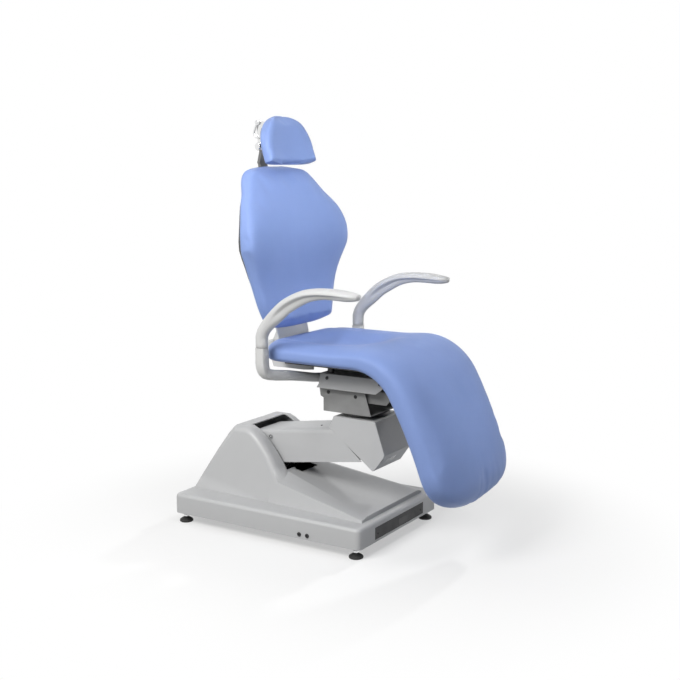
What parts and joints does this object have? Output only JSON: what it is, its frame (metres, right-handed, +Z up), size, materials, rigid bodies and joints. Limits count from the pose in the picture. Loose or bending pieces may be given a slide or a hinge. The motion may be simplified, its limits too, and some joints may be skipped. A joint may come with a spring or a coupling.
{
  "type": "ear nose and throat treatment chair",
  "caption": "Powered treatment chair with one bent seat and leg rest pad, shield-shaped reclining back, small headrest, swing-out arms and a parallelogram lift on a moulded base.",
  "frame": {"origin": "on the floor, under the middle of the whole chair's bounding box", "axes": "+Z up; +X to the seated patient's left; -Y the way the patient faces"},
  "size_m": [0.6646, 1.0934, 1.4508],
  "materials": {
    "light_grey_moulding": "satin",
    "light_grey_arm": "satin",
    "light_grey_enamel": "satin",
    "grey_enamel": "satin",
    "grey_plastic": "satin",
    "mid_grey_enamel": "satin",
    "dark_grey_panel": "matte",
    "black_plastic": "satin",
    "black_rubber": "matte",
    "black_enamel": "satin",
    "dark_steel": "satin",
    "dark_casting": "matte",
    "bright_steel": "satin",
    "chrome": "polished",
    "board": "matte",
    "blue_upholstery": "satin"
  },
  "bodies": {
    "base": {"base_cover": "light_grey_moulding", "front_panel": "dark_grey_panel", "pedal_socket_1": "black_plastic", "pedal_socket_2": "black_plastic", "base_frame": "dark_steel", "lift_pivot_shaft": "bright_steel", "link_pivot_pin_left": "bright_steel", "link_pivot_pin_right": "bright_steel", "actuator_pin": "bright_steel", "control_box": "black_plastic"},
    "foot_front_left": {"levelling_foot_front_left": "black_rubber"},
    "foot_front_right": {"levelling_foot_front_right": "black_rubber"},
    "foot_rear_left": {"levelling_foot_rear_left": "black_rubber"},
    "foot_rear_right": {"levelling_foot_rear_right": "black_rubber"},
    "lift_arm": {"lift_arm_frame": "dark_steel", "lift_arm_cover": "light_grey_moulding", "arm_cover_plug_left": "grey_plastic", "arm_cover_plug_right": "grey_plastic", "rod_end_pin": "bright_steel", "head_pivot_shaft": "bright_steel"},
    "link_left": {"parallel_link_left": "dark_steel"},
    "link_right": {"parallel_link_right": "dark_steel"},
    "lift_actuator": {"lift_actuator_body": "black_enamel", "lift_motor": "black_enamel"},
    "lift_rod": {"lift_actuator_rod": "bright_steel"},
    "head": {"head_casting": "dark_casting", "head_cover": "light_grey_moulding", "link_head_pin": "bright_steel", "swivel_ring": "bright_steel"},
    "seat": {"swivel_plate": "black_enamel", "seat_bracket": "mid_grey_enamel", "seat_inner_channel": "mid_grey_enamel", "seat_channel": "grey_enamel", "seat_cushion": "blue_upholstery", "seat_shell": "black_plastic", "recline_drive_body": "black_enamel", "back_hinge_plate_left": "mid_grey_enamel", "back_hinge_plate_right": "mid_grey_enamel", "back_hinge_pin": "bright_steel", "armrest_bracket_left": "light_grey_enamel", "armrest_bracket_right": "light_grey_enamel", "armrest_pin_left": "bright_steel", "armrest_pin_right": "bright_steel"},
    "recline_rod": {"recline_rod": "bright_steel"},
    "backrest": {"backrest_cushion": "blue_upholstery", "backrest_board": "board", "backrest_frame": "grey_enamel", "headrest_sleeve": "black_enamel"},
    "headrest_post": {"headrest_post": "dark_steel"},
    "headrest": {"headrest_cushion": "blue_upholstery", "headrest_board": "board", "headrest_carrier": "chrome", "headrest_tilt_pin": "chrome", "lever_pin": "chrome"},
    "clamp_knob": {"headrest_clamp_knob": "chrome"},
    "headrest_lever": {"headrest_lever": "chrome"},
    "armrest_left": {"armrest_left": "light_grey_arm"},
    "armrest_right": {"armrest_right": "light_grey_arm"}
  },
  "joints": [
    {"name": "foot_front_left_turn", "type": "hinge", "parent": "base", "child": "foot_front_left", "pos_m": [0.243, -0.20535, 0], "axis": [0, 0, 1], "continuous": true},
    {"name": "foot_front_right_turn", "type": "hinge", "parent": "base", "child": "foot_front_right", "pos_m": [-0.243, -0.20535, 0], "axis": [0, 0, 1], "continuous": true},
    {"name": "foot_rear_left_turn", "type": "hinge", "parent": "base", "child": "foot_rear_left", "pos_m": [0.243, 0.51665, 0], "axis": [0, 0, 1], "continuous": true},
    {"name": "foot_rear_right_turn", "type": "hinge", "parent": "base", "child": "foot_rear_right", "pos_m": [-0.243, 0.51665, 0], "axis": [0, 0, 1], "continuous": true},
    {"name": "lift_swing", "type": "hinge", "parent": "base", "child": "lift_arm", "pos_m": [0, 0.26965, 0.28], "axis": [-1, 0, 0], "range_deg": [-6, 32]},
    {"name": "link_left_swing", "type": "hinge", "parent": "base", "child": "link_left", "pos_m": [0, 0.26965, 0.24], "axis": [-1, 0, 0], "range_deg": [-6, 32]},
    {"name": "link_right_swing", "type": "hinge", "parent": "base", "child": "link_right", "pos_m": [0, 0.26965, 0.24], "axis": [-1, 0, 0], "range_deg": [-6, 32]},
    {"name": "lift_actuator_swing", "type": "hinge", "parent": "base", "child": "lift_actuator", "pos_m": [0, 0.42465, 0.093], "axis": [-1, 0, 0], "range_deg": [-2.46, 13.07]},
    {"name": "lift_rod_slide", "type": "slide", "parent": "lift_actuator", "child": "lift_rod", "axis": [0, -0.8918, 0.4525], "range_m": [-0.008, 0.0423]},
    {"name": "head_level", "type": "hinge", "parent": "lift_arm", "child": "head", "pos_m": [0, -0.10528, 0.33537], "axis": [-1, 0, 0], "range_deg": [-32, 6]},
    {"name": "seat_swivel", "type": "hinge", "parent": "head", "child": "seat", "pos_m": [0, -0.09535, 0.427], "axis": [0, 0, 1], "range_deg": [-90, 90]},
    {"name": "back_recline", "type": "hinge", "parent": "seat", "child": "backrest", "pos_m": [0, 0.23265, 0.658], "axis": [-1, 0, 0], "range_deg": [0, 70]},
    {"name": "recline_rod_slide", "type": "slide", "parent": "seat", "child": "recline_rod", "axis": [0, -1, 0], "range_m": [0, 0.0861]},
    {"name": "headrest_slide", "type": "slide", "parent": "backrest", "child": "headrest_post", "axis": [0, 0.1908, 0.9816], "range_m": [0, 0.1]},
    {"name": "headrest_tilt", "type": "hinge", "parent": "headrest_post", "child": "headrest", "pos_m": [0, 0.32161, 1.34362], "axis": [-1, 0, 0], "range_deg": [0, 30]},
    {"name": "clamp_knob_turn", "type": "hinge", "parent": "headrest", "child": "clamp_knob", "pos_m": [0, 0.32161, 1.34362], "axis": [-1, 0, 0], "range_deg": [-90, 90]},
    {"name": "headrest_lever_press", "type": "hinge", "parent": "headrest", "child": "headrest_lever", "pos_m": [0, 0.33076, 1.42657], "axis": [1, 0, 0], "range_deg": [0, 25], "stiffness_Nm_per_rad": 0.4},
    {"name": "armrest_left_swing", "type": "hinge", "parent": "seat", "child": "armrest_left", "pos_m": [0.307, 0.12165, 0.684], "axis": [0, 0, 1], "range_deg": [0, 110]},
    {"name": "armrest_right_swing", "type": "hinge", "parent": "seat", "child": "armrest_right", "pos_m": [-0.307, 0.12165, 0.684], "axis": [0, 0, -1], "range_deg": [0, 110]}
  ],
  "couplings": [
    {"joint": "link_left_swing", "follows": "lift_swing", "ratio": 1},
    {"joint": "link_right_swing", "follows": "lift_swing", "ratio": 1},
    {"joint": "lift_actuator_swing", "follows": "lift_swing", "ratio": 0.408},
    {"joint": "lift_rod_slide", "follows": "lift_swing", "m_per_rad": 0.0755},
    {"joint": "head_level", "follows": "lift_swing", "ratio": -1},
    {"joint": "recline_rod_slide", "follows": "back_recline", "m_per_rad": 0.07038}
  ]
}
